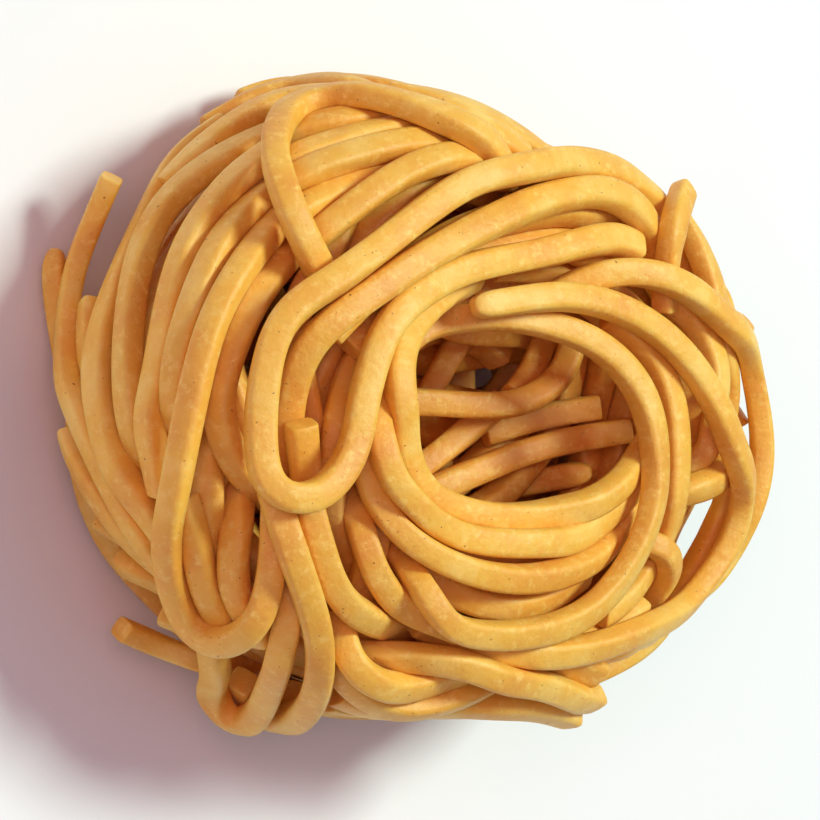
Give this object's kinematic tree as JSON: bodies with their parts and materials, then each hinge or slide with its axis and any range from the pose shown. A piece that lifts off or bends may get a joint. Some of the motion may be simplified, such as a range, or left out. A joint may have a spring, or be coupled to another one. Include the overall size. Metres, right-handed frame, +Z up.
{
  "type": "dry pasta nest",
  "caption": "Dry pasta nest: square-cut golden noodles wound into a low round coil with an open eye, hairpin bends, a crossing loop and loose cut ends.",
  "frame": {"origin": "centre of the nest's box on the surface it lies on", "axes": "+Z up, out of the open eye; +X along the nest's longer side, away from the side that shows in the picture; +Y towards the picture's upper edge"},
  "size_m": [0.0708, 0.0603, 0.0325],
  "materials": {
    "pasta": "matt, slightly floury golden yellow pasta with fine pits and a few small brown specks"
  },
  "bodies": {
    "root": {"pasta_nest": "pasta"}
  },
  "joints": []
}
